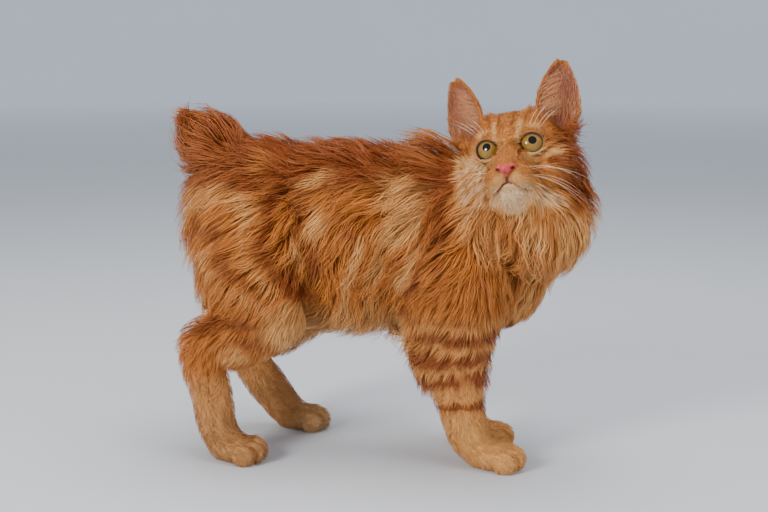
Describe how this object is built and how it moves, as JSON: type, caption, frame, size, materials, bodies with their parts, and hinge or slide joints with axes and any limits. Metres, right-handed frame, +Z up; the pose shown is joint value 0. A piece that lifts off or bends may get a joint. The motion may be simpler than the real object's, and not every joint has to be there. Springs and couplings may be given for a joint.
{
  "type": "long-haired bobtail kitten, standing",
  "caption": "Still, life-size long-haired orange tabby bobtail kitten, standing with its head turned to its right and looking up.",
  "frame": {"origin": "on the floor, under the middle of the whole model's box", "axes": "+X towards the front of the body, +Y to the cat's left, +Z up; the head is turned to -Y"},
  "size_m": [0.3266, 0.1448, 0.299],
  "materials": {
    "torso_coat": "matte",
    "neck_coat": "matte",
    "head_coat": "matte",
    "tail_coat": "matte",
    "leg_coat": "matte",
    "paw_coat": "matte",
    "ear_skin": "matte",
    "eye": "gloss",
    "nose_leather": "satin"
  },
  "bodies": {
    "root": {"torso": "torso_coat", "neck": "neck_coat", "head": "head_coat", "tail": "tail_coat", "leg_front_right": "leg_coat", "leg_front_left": "leg_coat", "leg_hind_right": "leg_coat", "leg_hind_left": "leg_coat", "hock_right": "leg_coat", "hock_left": "leg_coat", "paw_front_right": "paw_coat", "paw_front_left": "paw_coat", "paw_hind_right": "paw_coat", "paw_hind_left": "paw_coat", "ear_right": "ear_skin", "ear_left": "ear_skin", "eye_right": "eye", "eye_left": "eye", "nose": "nose_leather"}
  },
  "joints": []
}
